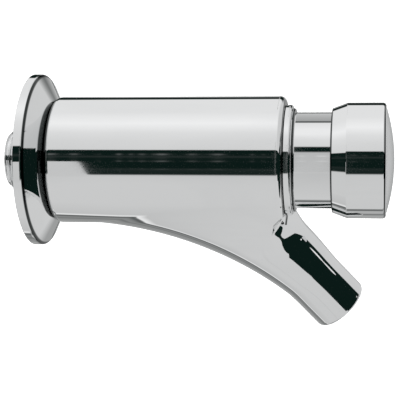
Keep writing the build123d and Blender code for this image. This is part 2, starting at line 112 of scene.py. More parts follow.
# shared effects, as groups that give masks only
def makeSmudgeGroup():
    group, start, end = newGroup(
        "wipedFilm", "ShaderNodeTree",
        [("Vector", "NodeSocketVector", None), ("Size", "NodeSocketFloat", 90.0),
         ("Stretch", "NodeSocketFloat", 0.35), ("Amount", "NodeSocketFloat", 0.5)],
        [("Film", "NodeSocketFloat")],
    )
    stretched = put(group, "ShaderNodeCombineXYZ", {0: start.outputs["Stretch"], 1: 1.0, 2: 1.0})
    squeezed = put(group, "ShaderNodeVectorMath",
                   {0: start.outputs["Vector"], 1: stretched.outputs[0]}, operation="MULTIPLY")
    broad = put(group, "ShaderNodeTexNoise",
                {"Vector": squeezed.outputs[0], "Scale": start.outputs["Size"], "Detail": 4.0,
                 "Distortion": 0.6})
    spread = ranged(group, broad.outputs[0], *surface["filmShare"])
    group.links.new(calc(group, "MULTIPLY", spread, start.outputs["Amount"]), end.inputs["Film"])
    return group


def makeTurningGroup():
    group, start, end = newGroup(
        "turningMarks", "ShaderNodeTree",
        [("Vector", "NodeSocketVector", None), ("Pitch", "NodeSocketFloat", 0.0004),
         ("Unevenness", "NodeSocketFloat", 0.4)],
        [("Marks", "NodeSocketFloat")],
    )
    x, radius = axisPlace(group, start.outputs["Vector"])
    turns = calc(group, "DIVIDE", calc(group, "ADD", x, radius), start.outputs["Pitch"])
    ripple = calc(group, "SINE", calc(group, "MULTIPLY", turns, fullTurn))
    noise = put(group, "ShaderNodeTexNoise",
                {"Vector": start.outputs["Vector"], "Scale": 400.0, "Detail": 3.0})
    uneven = calc(group, "MULTIPLY", noise.outputs[0], start.outputs["Unevenness"])
    marks = calc(group, "ADD", calc(group, "MULTIPLY", ripple, surface["markDepth"]), uneven)
    group.links.new(marks, end.inputs["Marks"])
    return group


# painted shade line round the barrel's axis, at rim roundings and where one turned piece meets the next: a
# dark band that stands in for the shadow and dark reflections there
def makePaintedShadeLineGroup():
    group, start, end = newGroup(
        "paintedShadeLine", "ShaderNodeTree",
        [("Vector", "NodeSocketVector", None), ("Place", "NodeSocketFloat", 0.0),
         ("Reach", "NodeSocketFloat", 0.0005), ("Inside", "NodeSocketFloat", 0.0),
         ("Outside", "NodeSocketFloat", 0.0222)],
        [("Mask", "NodeSocketFloat")],
    )
    x, radius = axisPlace(group, start.outputs["Vector"])
    away = calc(group, "ABSOLUTE", calc(group, "SUBTRACT", x, start.outputs["Place"]))
    share = calc(group, "DIVIDE", away, start.outputs["Reach"])
    line = put(group, "ShaderNodeMapRange",
               {"Value": share, "From Min": 1.0, "From Max": 0.5}, interpolation_type="SMOOTHSTEP")
    within = calc(group, "MULTIPLY", calc(group, "LESS_THAN", radius, start.outputs["Outside"]),
                  calc(group, "GREATER_THAN", radius, start.outputs["Inside"]))
    group.links.new(calc(group, "MULTIPLY", line.outputs[0], within), end.inputs["Mask"])
    return group


smudgeGroup = makeSmudgeGroup()
turningGroup = makeTurningGroup()
paintedShadeLineGroup = makePaintedShadeLineGroup()


def newMaterial(name):
    material = bpy.data.materials.new(name)
    material.use_nodes = True
    tree = material.node_tree
    shader = tree.nodes["Principled BSDF"]
    place = tree.nodes.new("ShaderNodeTexCoord").outputs["Object"]
    return material, tree, shader, place


def tinted(tree, low, high, factor):
    mix = put(tree, "ShaderNodeMix", {0: factor, 6: (*low, 1.0), 7: (*high, 1.0)}, data_type="RGBA")
    return mix.outputs[2]


def coat(tree, shader, colour, rough, height, strength, distance):
    bump = put(tree, "ShaderNodeBump", {"Height": height, "Strength": strength, "Distance": distance})
    tree.links.new(colour, shader.inputs["Base Color"])
    tree.links.new(rough, shader.inputs["Roughness"])
    tree.links.new(bump.outputs[0], shader.inputs["Normal"])


# plated and polished brass, with a thin wiped film that dulls it a little in places, and painted shade lines
# where they are listed
def platedMetal(name, low, high, roughness, film, rippleHeight, joints=()):
    material, tree, shader, place = newMaterial(name)
    wiped = put(tree, "ShaderNodeGroup", {"Vector": place, "Size": surface["filmSize"], "Amount": film},
                node_tree=smudgeGroup)
    shader.inputs["Metallic"].default_value = 1.0
    plate = tinted(tree, high, low, wiped.outputs["Film"])
    shadeMask = 0.0
    # painted shade: near-black bands at rim roundings and joints stand in for the shadow and dark reflections
    # there
    for centre, reach, inside, outside in joints:
        line = put(tree, "ShaderNodeGroup",
                   {"Vector": place, "Place": centre * mm, "Reach": reach * mm, "Inside": inside * mm,
                    "Outside": outside * mm}, node_tree=paintedShadeLineGroup)
        shadeMask = calc(tree, "MAXIMUM", shadeMask, line.outputs["Mask"])
    if joints:
        plate = put(tree, "ShaderNodeMix", {0: shadeMask, 6: plate, 7: paintedShadeColour}, data_type="RGBA").outputs[2]
    rough = calc(tree, "MULTIPLY_ADD", wiped.outputs["Film"], surface["filmRoughness"], roughness)
    ripple = put(tree, "ShaderNodeTexNoise", {"Vector": place, "Scale": surface["rippleSize"], "Detail": 1.0})
    coat(tree, shader, plate, rough, ripple.outputs[0], 1.0, rippleHeight)
    return material


# machined metal with turning marks round the barrel's axis
def machinedMetal(name, low, high, roughness, pitch):
    material, tree, shader, place = newMaterial(name)
    marks = put(tree, "ShaderNodeGroup", {"Vector": place, "Pitch": pitch}, node_tree=turningGroup)
    shader.inputs["Metallic"].default_value = 1.0
    height = marks.outputs["Marks"]
    colour = tinted(tree, low, high, height)
    rough = calc(tree, "MULTIPLY_ADD", height, surface["markRoughness"], roughness)
    coat(tree, shader, colour, rough, height, surface["markStrength"], surface["markHeight"])
    return material


# moulded plastic or rubber, a little cloudy and with a fine grain
def moulded(name, low, high, roughness, grain, grainHeight):
    material, tree, shader, place = newMaterial(name)
    cloud = put(tree, "ShaderNodeTexNoise", {"Vector": place, "Scale": surface["cloudSize"], "Detail": 5.0})
    texture = put(tree, "ShaderNodeTexNoise", {"Vector": place, "Scale": grain, "Detail": 2.0})
    colour = tinted(tree, low, high, cloud.outputs[0])
    rough = calc(tree, "MULTIPLY_ADD", texture.outputs[0], surface["grainRoughness"], roughness)
    coat(tree, shader, colour, rough, texture.outputs[0], surface["grainStrength"], grainHeight)
    return material


# painted shade lines at rim roundings and joints, standing in for shadow and dark reflections: place along
# the barrel, half width, inner and outer radius, in mm
paintedShadeLines = [(3.3, 0.5, 28.0, 30.5), (8.4, 1.1, 20.0, 22.2), (88.45, 0.35, 16.0, 22.2),
              (91.5, 0.5, 15.0, 19.1), (104.3, 0.4, 16.0, 18.6), (121.9, 0.35, 18.0, 20.0)]
# near-black colour of the painted shade lines
paintedShadeColour = (0.05, 0.055, 0.055, 1.0)

finishes = {
    "chrome": platedMetal("polishedChrome", low=(0.74, 0.75, 0.755), high=(0.85, 0.856, 0.86),
                          roughness=0.02, film=0.35, rippleHeight=0.000003, joints=paintedShadeLines),
    "satin_chrome": platedMetal("satinChrome", low=(0.62, 0.63, 0.64), high=(0.72, 0.73, 0.735),
                                roughness=0.2, film=0.5, rippleHeight=0.00001),
    "brass": machinedMetal("turnedBrass", low=(0.58, 0.40, 0.15), high=(0.76, 0.57, 0.26),
                           roughness=0.24, pitch=0.0005),
    "steel": machinedMetal("turnedSteel", low=(0.50, 0.51, 0.52), high=(0.68, 0.68, 0.68),
                           roughness=0.22, pitch=0.0004),
    "white_acetal": moulded("whiteAcetal", low=(0.72, 0.72, 0.69), high=(0.82, 0.82, 0.79),
                            roughness=0.34, grain=900.0, grainHeight=0.00002),
    "grey_acetal": moulded("greyAcetal", low=(0.17, 0.18, 0.19), high=(0.24, 0.25, 0.27),
                           roughness=0.38, grain=900.0, grainHeight=0.00002),
    "black_rubber": moulded("blackRubber", low=(0.012, 0.012, 0.013), high=(0.03, 0.03, 0.03),
                            roughness=0.55, grain=1400.0, grainHeight=0.00003),
}
slotOf = {part["node"]: part["material_slot"] for part in frame["record"]["subparts"]}
for nodeName, nodeObject in frame["nodes"].items():
    for materialSlot in nodeObject.material_slots:
        materialSlot.material = finishes[slotOf[nodeName]]
print("finishes made:", len(finishes))


# a mesh from points in mm, with the exact normals of its surface
def addPiece(name, points, faces, normals, body, finish, standsFor=()):
    mesh = bpy.data.meshes.new(name)
    mesh.from_pydata((np.asarray(points) * mm).tolist(), [], faces)
    mesh.polygons.foreach_set("use_smooth", [True] * len(mesh.polygons))
    if normals is not None:
        mesh.normals_split_custom_set_from_vertices(np.asarray(normals).tolist())
    mesh.materials.append(finishes[finish])
    piece = bpy.data.objects.new(name, mesh)
    bpy.context.scene.collection.objects.link(piece)
    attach(piece, body)
    if standsFor:
        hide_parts(*standsFor)
    return piece


onAxis = 1e-6


# points and normals of an outline that is given as (x, radius, rounding) corners, in mm
def roundOutline(corners, stepDegrees=11.0):
    area = sum(a[0] * b[1] - b[0] * a[1] for a, b in zip(corners, corners[1:] + corners[:1]))
    if area < 0:
        corners = corners[::-1]
    points = []
    normals = []
    count = len(corners)
    for i, (x, r, rounding) in enumerate(corners):
        here = np.array([x, r])
        before = here - np.array(corners[i - 1][:2])
        after = np.array(corners[(i + 1) % count][:2]) - here
        before = before / np.linalg.norm(before)
        after = after / np.linalg.norm(after)
        sides = [np.array([before[1], -before[0]]), np.array([after[1], -after[0]])]
        if r < onAxis:
            points.append(here)
            normals.append(sides[0] if abs(sides[0][0]) > abs(sides[1][0]) else sides[1])
            continue
        turn = math.atan2(before[0] * after[1] - before[1] * after[0], float(before @ after))
        reach = rounding * math.tan(abs(turn) / 2)
        first = here - before * reach
        centre = first + sides[0] * (-rounding if turn > 0 else rounding)
        steps = max(2, int(abs(math.degrees(turn)) / stepDegrees) + 1)
        for k in range(steps + 1):
            a = turn * k / steps
            side = np.array([
                sides[0][0] * math.cos(a) - sides[0][1] * math.sin(a),
                sides[0][0] * math.sin(a) + sides[0][1] * math.cos(a),
            ])
            points.append(centre + side * (rounding if turn > 0 else -rounding))
            normals.append(side)
    return points, normals


# solid of revolution about the x axis, or about another frame's x axis
def addTurned(name, outline, body, finish, standsFor=(), segments=192, place=None):
    profile, sides = outline
    angles = [fullTurn * i / segments for i in range(segments)]
    points = []
    normals = []
    rows = []
    for (x, r), (nx, nr) in zip(profile, sides):
        if r < onAxis:
            rows.append([len(points)] * segments)
            points.append((x, 0.0, 0.0))
            normals.append((1.0 if nx > 0 else -1.0, 0.0, 0.0))
            continue
        rows.append(list(range(len(points), len(points) + segments)))
        for a in angles:
            points.append((x, r * math.cos(a), r * math.sin(a)))
            normals.append((nx, nr * math.cos(a), nr * math.sin(a)))
    faces = []
    for i, row in enumerate(rows):
        following = rows[(i + 1) % len(rows)]
        if row[0] == row[-1] and following[0] == following[-1]:
            continue
        for k in range(segments):
            m = (k + 1) % segments
            corners = [row[m], row[k], following[k], following[m]]
            faces.append(list(dict.fromkeys(corners)))
    if place is not None:
        points = [tuple(place @ Vector(p)) for p in points]
        normals = [tuple(place.to_3x3() @ Vector(n)) for n in normals]
    return addPiece(name, points, faces, normals, body, finish, standsFor)


# body casting: barrel, web and spout as one smooth surface
casting = {
    "barrelRadius": 22.0,
    "back": 8.0,
    "front": 88.5,
    "rimRounding": 2.0,
    "rimFade": 2.8,
    "webStart": -1.6,
    "webFrom": 0.02,
    "bend": 128.2,
    "fullness": 1.14,
    "easing": 4.0,
    "slope": math.radians(49.9),
    "straight": 16.0,
    "spoutRadius": 10.4,
    "mouthRounding": 1.6,
    "crotchRounding": 1.8,
    "shoulderFrom": 0.55,
    "shoulderTurn": math.radians(38.2),
    "shoulderRounding": 7.0,
    "roundTurn": math.radians(43.5),
    "rootRadius": 19.4,
    "rootRounding": 0.8,
    "frontRounding": 1.5,
    "collarRoom": 19.3,
    "collarRounding": 0.35,
    "bores": [(-5.0, 11.0, 7.2), (10.5, 24.0, 9.6), (23.5, 32.0, 11.5), (31.5, 75.0, 15.8),
              (74.2, 95.0, 17.0)],
    "boreRounding": 0.3,
    "channel": 6.6,
    "channelFrom": 0.33,
    "channelRounding": 1.2,
    "mouthBore": 8.55,
    "mouthDepth": 9.6,
    "firstTurn": 0.002,
    "lastTurn": math.radians(62.0),
}
farOutside = 50.0


def roundMin(a, b, radius):
    inner = np.maximum(radius, np.minimum(a, b))
    return inner - np.hypot(np.maximum(radius - a, 0), np.maximum(radius - b, 0))


def roundMax(a, b, radius):
    return -roundMin(-a, -b, radius)


def smoothStep(low, high, value):
    t = np.clip((value - low) / (high - low), 0, 1)
    return t * t * (3 - 2 * t)


# lean of the flat flanks that touch both the lower edge and the barrel, for turns along the web
def flankTable(sizes):
    turns = np.linspace(sizes["firstTurn"], sizes["lastTurn"], 500)
    edge = edgeRadius(sizes, turns)
    height = sizes["bend"] * (1 - np.cos(turns)) / np.cos(turns)
    side = sizes["barrelRadius"]
    rise = side / np.cos(turns)
    low = np.zeros_like(turns)
    high = np.full_like(turns, math.pi / 2)
    for _ in range(50):
        lean = (low + high) / 2
        reach = np.hypot(side * np.cos(lean), rise * np.sin(lean))
        upright = reach - height * np.sin(lean) > edge
        low = np.where(upright, lean, low)
        high = np.where(upright, high, lean)
    reach = np.hypot(side * np.cos(lean), rise * np.sin(lean))
    lowChord = -edge * np.sin(lean)
    highChord = height - rise * rise * np.sin(lean) / reach
    leaving = turns[np.argmax(edge * np.cos(turns) + sizes["bend"] * (1 - np.cos(turns)) > side)]
    return turns, lean, lowChord, highChord, leaving


# the lower edge narrows to the straight spout, and eases into it
def edgeRadius(sizes, turn):
    length = sizes["slope"] * sizes["bend"]
    easing = sizes["easing"]
    left = length - turn * sizes["bend"]
    eased = np.where(np.abs(left) < easing, (left + easing) ** 2 / (4 * easing), np.maximum(left, 0))
    narrowed = (1 - eased / length) ** sizes["fullness"]
    return sizes["barrelRadius"] + (sizes["spoutRadius"] - sizes["barrelRadius"]) * narrowed


def castingField(sizes, flanks):
    turns, lean, lowChord, highChord, leaving = flanks
    slopeWay = np.array([math.cos(sizes["slope"]), -math.sin(sizes["slope"])])
    slopeUp = np.array([math.sin(sizes["slope"]), math.cos(sizes["slope"])])
    bendEnd = np.array([
        sizes["webStart"] + sizes["bend"] * math.sin(sizes["slope"]),
        sizes["bend"] * (math.cos(sizes["slope"]) - 1),
    ])

    def field(p):
        x, y, z = p[:, 0], p[:, 1], p[:, 2]
        fromAxis = np.hypot(y, z)
        barrel = fromAxis - sizes["barrelRadius"]
        turn = np.arctan2(x - sizes["webStart"], z + sizes["bend"])
        up = np.hypot(x - sizes["webStart"], z + sizes["bend"]) - sizes["bend"]
        along = (x - bendEnd[0]) * slopeWay[0] + (z - bendEnd[1]) * slopeWay[1]
        upStraight = (x - bendEnd[0]) * slopeUp[0] + (z - bendEnd[1]) * slopeUp[1]
        beyond = turn > sizes["slope"]
        height = np.where(beyond, upStraight, up)
        edge = edgeRadius(sizes, np.where(beyond, sizes["slope"] + along / sizes["bend"], turn))
        fromSpine = np.hypot(y, height)
        canal = fromSpine - edge
        canal = np.where(turn < sizes["webFrom"], farOutside, canal)

        t = np.clip(turn, turns[0], turns[-1])
        flankLean = np.interp(t, turns, lean)
        flank = np.abs(y) * np.cos(flankLean) - up * np.sin(flankLean) - edgeRadius(sizes, t)
        flank = np.maximum(flank, np.interp(t, turns, lowChord) - up)
        flank = np.maximum(flank, up - np.interp(t, turns, highChord))
        flank = np.where(turn > leaving, flank, farOutside)
        hull = np.minimum(np.minimum(barrel, canal), flank)

        # ahead of the barrel the flanks keep a rounded shoulder, which grows into the round spout
        grown = smoothStep(sizes["shoulderTurn"], sizes["roundTurn"], turn)
        shoulderLean = flankLean * (1 - grown)
        shoulder = sizes["shoulderRounding"] + (edge - sizes["shoulderRounding"]) * grown
        side = np.abs(y) * np.cos(shoulderLean) - height * np.sin(shoulderLean) - edge
        topped = roundMax(side, height - edge, shoulder)
        topped = np.where(height > -edge * np.sin(shoulderLean), topped, canal)
        topped = np.where(turn > sizes["shoulderFrom"], topped, farOutside)
        hull = np.minimum(hull, topped)

        # the barrel's front leans back under the collar, where the spout leaves it
        leant = (turn - sizes["shoulderTurn"]) * (sizes["bend"] + up)
        leant = roundMin(leant, fromAxis - sizes["rootRadius"], sizes["rootRounding"])
        ahead = roundMax(x - sizes["front"], leant, sizes["frontRounding"])
        spout = np.minimum(canal, topped)
        front = roundMin(ahead, spout, sizes["crotchRounding"])
        fade = smoothStep(0.0, sizes["rimFade"], spout - hull)
        shape = roundMax(hull, front, np.maximum(sizes["rimRounding"] * fade, 1e-4))
        shape = roundMax(shape, sizes["back"] - x, sizes["rimRounding"])
        collar = np.maximum(fromAxis - sizes["collarRoom"], sizes["front"] - x)
        shape = roundMax(shape, -collar, sizes["collarRounding"])
        mouth = along - sizes["straight"]
        shape = roundMax(shape, mouth, sizes["mouthRounding"])

        hollow = np.full_like(x, farOutside)
        for low, high, radius in sizes["bores"]:
            pastEnds = np.abs(x - (low + high) / 2) - (high - low) / 2
            hollow = np.minimum(hollow, np.maximum(fromAxis - radius, pastEnds))
        channel = np.maximum(fromSpine - sizes["channel"], (sizes["channelFrom"] - turn) * sizes["bend"])
        mouthBore = np.maximum(fromSpine - sizes["mouthBore"], -mouth - sizes["mouthDepth"])
        mouthBore = np.where(beyond, mouthBore, farOutside)
        hollow = np.minimum(roundMin(hollow, channel, sizes["channelRounding"]), mouthBore)
        return roundMax(shape, -hollow, sizes["boreRounding"])

    return field


def gradient(field, points, reach=0.02):
    columns = []
    for axis in range(3):
        offset = np.zeros(3)
        offset[axis] = reach
        columns.append((field(points + offset) - field(points - offset)) / (2 * reach))
    return np.stack(columns, 1)


# one point in each cell that the surface crosses, and a face round each crossed edge
def surfaceNet(field, low, high, cell):
    axes = [np.arange(a, b, cell) for a, b in zip(low, high)]
    grid = np.stack(np.meshgrid(*axes, indexing="ij"), -1)
    shape = grid.shape[:3]
    inside = (field(grid.reshape(-1, 3)) < 0).reshape(shape)
    corners = np.zeros([n - 1 for n in shape], int)
    for i in (0, 1):
        for j in (0, 1):
            for k in (0, 1):
                corners += inside[i:shape[0] - 1 + i, j:shape[1] - 1 + j, k:shape[2] - 1 + k]
    active = (corners > 0) & (corners < 8)
    index = np.full(active.shape, -1)
    index[active] = np.arange(active.sum())
    points = grid[:-1, :-1, :-1][active] + cell / 2
    faces = []
    for axis in range(3):
        order = [axis, (axis + 1) % 3, (axis + 2) % 3]
        filled = inside.transpose(order)
        cells = index.transpose(order)
        crossed = filled[:-1, 1:-1, 1:-1] != filled[1:, 1:-1, 1:-1]
        a, b, c = np.nonzero(crossed)
        quads = np.stack([cells[a, b, c], cells[a, b + 1, c], cells[a, b + 1, c + 1], cells[a, b, c + 1]], 1)
        outward = filled[a, b + 1, c + 1]
        quads[~outward] = quads[~outward][:, ::-1]
        faces.append(quads)
    return points, np.concatenate(faces)


# pulls the points onto the surface, and evens them out along it in the middle rounds
def settle(field, points, faces, net):
    cell, blend = net["cell"], net["blend"]
    pairs = np.concatenate([faces[:, [0, 1]], faces[:, [1, 2]], faces[:, [2, 3]], faces[:, [3, 0]]])
    for pull in range(net["rounds"]):
        slope = gradient(field, points)
        size = np.maximum((slope * slope).sum(1, keepdims=True), net["leastSlope"])
        step = slope * (field(points)[:, None] / size)
        length = np.maximum(np.linalg.norm(step, axis=1, keepdims=True), 1e-9)
        points = points - step * np.minimum(1.0, cell * net["longestStep"] / length)
        if pull in net["eveningRounds"]:
            total = np.zeros_like(points)
            count = np.zeros(len(points))
            for a, b in ((0, 1), (1, 0)):
                np.add.at(total, pairs[:, a], points[pairs[:, b]])
                np.add.at(count, pairs[:, a], 1)
            points = points * (1 - blend) + blend * total / np.maximum(count, 1)[:, None]
    return points


castingNet = {
    "low": (7.0, -23.05, -66.2),
    "high": (117.0, 23.1, 23.2),
    "cell": 0.7,
    "rounds": 9,
    "eveningRounds": (2, 3, 4, 5),
    "blend": 0.6,
    "longestStep": 0.7,
    "leastSlope": 0.05,
}
castingShape = castingField(casting, flankTable(casting))
netPoints, netFaces = surfaceNet(castingShape, castingNet["low"], castingNet["high"], castingNet["cell"])
netPoints = settle(castingShape, netPoints, netFaces, castingNet)
netNormals = gradient(castingShape, netPoints)
netNormals = netNormals / np.maximum(np.linalg.norm(netNormals, axis=1, keepdims=True), 1e-6)
addPiece("bodySkin", netPoints, netFaces.tolist(), netNormals, "tap_body", "chrome", ["body_casting"])
print("body casting:", len(netFaces), "faces")

# inlet tail: a turned tube with a helical thread round it
tail = {
    "end": -9.1,
    "inside": 8.4,
    "bore": 7.2,
    "screenBore": 8.2,
    "screenSeat": -1.1,
    "rootRadius": 9.32,
    "threadRadius": 10.4775,
    "reliefRadius": 10.15,
    "reliefStart": -0.1,
    "threadStart": -8.85,
    "threadEnd": -0.5,
    "threadSunk": 0.02,
    "pitch": 1.814,
    "leadIn": 1.0,
    "flank": (0.06, 0.44),
    "endsSunk": 0.4,
    "mergeReach": 0.002,
    "rows": 220,
    "columns": 128,
}
tailOutline = roundOutline([
    (tail["end"], tail["screenBore"], 0.2),
    (tail["end"], tail["rootRadius"], 0.3),
    (tail["threadEnd"], tail["rootRadius"], 0.1),
    (tail["reliefStart"], tail["reliefRadius"], 0.1),
    (tail["inside"], tail["reliefRadius"], 0.1),
    (tail["inside"], tail["bore"], 0.1),
    (tail["screenSeat"], tail["bore"], 0.1),
    (tail["screenSeat"], tail["screenBore"], 0.1),
])
addTurned("tailTube", tailOutline, "tap_body", "chrome")


# last nodes of a tree: smooth faces, real geometry and the finish
def endTree(group, geometry, finish, end):
    smooth = put(group, "GeometryNodeSetShadeSmooth", {"Geometry": geometry})
    real = put(group, "GeometryNodeRealizeInstances", {"Geometry": smooth.outputs[0]})
    coated = put(group, "GeometryNodeSetMaterial", {"Geometry": real.outputs[0], "Material": finish})
    group.links.new(coated.outputs[0], end.inputs["Geometry"])


def makeThreadGroup(sizes):
    group, start, end = newGroup(
        "helicalThread", "GeometryNodeTree",
        [("Geometry", "NodeSocketGeometry", None), ("Rows", "NodeSocketInt", 200),
         ("Columns", "NodeSocketInt", 96), ("Start", "NodeSocketFloat", 0.0),
         ("End", "NodeSocketFloat", 0.01), ("Pitch", "NodeSocketFloat", 0.0018),
         ("Root", "NodeSocketFloat", 0.0093), ("Depth", "NodeSocketFloat", 0.0011),
         ("Lead In", "NodeSocketFloat", 0.001), ("Finish", "NodeSocketMaterial", None)],
        [("Geometry", "NodeSocketGeometry")],
    )
    value = start.outputs
    sheet = put(group, "GeometryNodeMeshGrid",
                {"Size X": 1.0, "Size Y": 1.0, "Vertices X": value["Rows"], "Vertices Y": value["Columns"]})
    parts = put(group, "ShaderNodeSeparateXYZ", {0: put(group, "GeometryNodeInputPosition").outputs[0]})
    lastRow = calc(group, "SUBTRACT", value["Rows"], 1.0)
    row = calc(group, "ROUND", calc(group, "MULTIPLY", calc(group, "ADD", parts.outputs[0], 0.5), lastRow))
    lastOnTail = calc(group, "SUBTRACT", lastRow, 2.0)
    isLast = calc(group, "COMPARE", row, lastRow, 0.5)
    share = calc(group, "MULTIPLY", ranged(group, row, 1.0, lastOnTail), calc(group, "SUBTRACT", 1.0, isLast))
    length = calc(group, "SUBTRACT", value["End"], value["Start"])
    x = calc(group, "MULTIPLY_ADD", share, length, value["Start"])
    around = calc(group, "ADD", parts.outputs[1], 0.5)
    angle = calc(group, "MULTIPLY", around, fullTurn)
    turns = calc(group, "ADD", calc(group, "DIVIDE", x, value["Pitch"]), around)
    wave = calc(group, "PINGPONG", turns, 0.5)
    flankFrom, flankTo = sizes["flank"]
    crest = put(group, "ShaderNodeMapRange",
                {"Value": wave, "From Min": flankFrom, "From Max": flankTo}, interpolation_type="SMOOTHSTEP")
    fromEnd = calc(group, "DIVIDE", calc(group, "SUBTRACT", x, value["Start"]), value["Lead In"])
    fromRoot = calc(group, "DIVIDE", calc(group, "SUBTRACT", value["End"], x), value["Lead In"])
    fade = calc(group, "MINIMUM", calc(group, "MINIMUM", fromEnd, fromRoot), 1.0)
    fade = calc(group, "MAXIMUM", fade, 0.0)
    height = calc(group, "MULTIPLY", calc(group, "MULTIPLY", crest.outputs[0], fade), value["Depth"])
    outer = calc(group, "ADD", value["Root"], height)
    beforeFirst = calc(group, "LESS_THAN", row, 0.5)
    afterLast = calc(group, "GREATER_THAN", row, calc(group, "SUBTRACT", lastRow, 1.5))
    sunk = calc(group, "MULTIPLY", calc(group, "ADD", beforeFirst, afterLast), sizes["endsSunk"] * mm)
    radius = calc(group, "SUBTRACT", outer, sunk)
    y = calc(group, "MULTIPLY", radius, calc(group, "COSINE", angle))
    z = calc(group, "MULTIPLY", radius, calc(group, "SINE", angle))
    wrapped = put(group, "GeometryNodeSetPosition",
                  {"Geometry": sheet.outputs[0],
                   "Position": put(group, "ShaderNodeCombineXYZ", {0: x, 1: y, 2: z}).outputs[0]})
    closed = put(group, "GeometryNodeMergeByDistance",
                 {"Geometry": wrapped.outputs[0], "Distance": sizes["mergeReach"] * mm})
    outward = put(group, "GeometryNodeFlipFaces", {"Mesh": closed.outputs[0]})
    endTree(group, outward.outputs[0], value["Finish"], end)
    return group


def plainMeshFrom(name, group, values):
    source = bpy.data.objects.new(name + "Source", bpy.data.meshes.new(name + "Source"))
    bpy.context.scene.collection.objects.link(source)
    modifier = source.modifiers.new(name, "NODES")
    modifier.node_group = group
    sockets = {item.name: item.identifier for item in group.interface.items_tree if item.in_out == "INPUT"}
    for label, value in values.items():
        modifier[sockets[label]] = value
    evaluated = source.evaluated_get(bpy.context.evaluated_depsgraph_get())
    mesh = bpy.data.meshes.new_from_object(evaluated)
    source.modifiers.remove(modifier)
    bpy.data.objects.remove(source)
    mesh.name = name
    if mesh.materials[0] is None:
        mesh.materials.pop(index=0)
    piece = bpy.data.objects.new(name, mesh)
    bpy.context.scene.collection.objects.link(piece)
    return piece


threadPiece = plainMeshFrom("tailThread", makeThreadGroup(tail), {
    "Rows": tail["rows"],
    "Columns": tail["columns"],
    "Start": tail["threadStart"] * mm,
    "End": tail["threadEnd"] * mm,
    "Pitch": tail["pitch"] * mm,
    "Root": (tail["rootRadius"] - tail["threadSunk"]) * mm,
    "Depth": (tail["threadRadius"] - tail["rootRadius"]) * mm,
    "Lead In": tail["leadIn"] * mm,
    "Finish": finishes["chrome"],
})
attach(threadPiece, "tap_body")
print("tail thread:", len(threadPiece.data.polygons), "faces")

# return spring, a steel coil round the barrel's axis
spring = {
    "back": 47.6,
    "front": 63.9,
    "meanRadius": 6.5,
    "wireRadius": 0.55,
    "turns": 5.0,
    "seat": 47.0,
    "piston": 64.5,
    "travel": 8.0,
    "steps": 48,
    "sides": 16,
}


def makeSpringGroup():
    group, start, end = newGroup(
        "coilSpring", "GeometryNodeTree",
        [("Geometry", "NodeSocketGeometry", None), ("Turns", "NodeSocketFloat", 5.0),
         ("Steps", "NodeSocketInt", 48), ("Sides", "NodeSocketInt", 16),
         ("Radius", "NodeSocketFloat", 0.0065), ("Wire", "NodeSocketFloat", 0.00055),
         ("Back", "NodeSocketFloat", 0.0), ("Front", "NodeSocketFloat", 0.01),
         ("Finish", "NodeSocketMaterial", None)],
        [("Geometry", "NodeSocketGeometry")],
    )
    value = start.outputs
    length = calc(group, "SUBTRACT", value["Front"], value["Back"])
    coil = put(group, "GeometryNodeCurveSpiral",
               {"Resolution": value["Steps"], "Rotations": value["Turns"], "Start Radius": value["Radius"],
                "End Radius": value["Radius"], "Height": length})
    ring = put(group, "GeometryNodeCurvePrimitiveCircle",
               {"Resolution": value["Sides"], "Radius": value["Wire"]})
    wire = put(group, "GeometryNodeCurveToMesh",
               {"Curve": coil.outputs[0], "Profile Curve": ring.outputs[0], "Fill Caps": True})
    turned = put(group, "GeometryNodeTransform",
                 {"Geometry": wire.outputs[0],
                  "Translation": put(group, "ShaderNodeCombineXYZ", {0: value["Back"]}).outputs[0],
                  "Rotation": (math.pi / 2, 0.0, math.pi / 2)})
    endTree(group, turned.outputs[0], value["Finish"], end)
    return group


springPiece = plainMeshFrom("springCoil", makeSpringGroup(), {
    "Turns": spring["turns"],
    "Steps": spring["steps"],
    "Sides": spring["sides"],
    "Radius": spring["meanRadius"] * mm,
    "Wire": spring["wireRadius"] * mm,
    "Back": spring["back"] * mm,
    "Front": spring["front"] * mm,
    "Finish": finishes["steel"],
})
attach(springPiece, "tap_body")
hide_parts("return_spring")
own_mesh(springPiece)
print("return spring:", len(springPiece.data.polygons), "faces")

# wall flange, a turned cup
flange = {"radius": 30.0, "rim": 3.2, "height": 8.0, "land": 20.0, "hole": 10.53, "wall": 1.3,
          "rimInside": 2.38, "landInside": 19.7, "rounding": 1.2}
addTurned("flangeCup", roundOutline([
    (0.0, flange["radius"], 0.3),
    (flange["rim"], flange["radius"], flange["rounding"]),
    (flange["height"], flange["land"], 0.4),
    (flange["height"], flange["hole"], 0.15),
    (flange["height"] - flange["wall"], flange["hole"], 0.15),
    (flange["height"] - flange["wall"], flange["landInside"], 0.4),
    (flange["rimInside"], flange["radius"] - flange["wall"], 0.6),
    (0.0, flange["radius"] - flange["wall"], 0.15),
]), "tap_body", "chrome", ["wall_flange"], segments=256)

# collar ring between the barrel and the neck
collar = {"back": 88.52, "front": 90.8, "radius": 19.0, "bore": 17.0, "bevel": 0.6}
addTurned("collarBand", roundOutline([
    (collar["back"], collar["bore"], 0.1),
    (collar["back"], collar["radius"], 0.25),
    (collar["front"], collar["radius"], collar["bevel"]),
    (collar["front"], collar["bore"], 0.1),
]), "tap_body", "chrome", ["collar_ring"], segments=256)

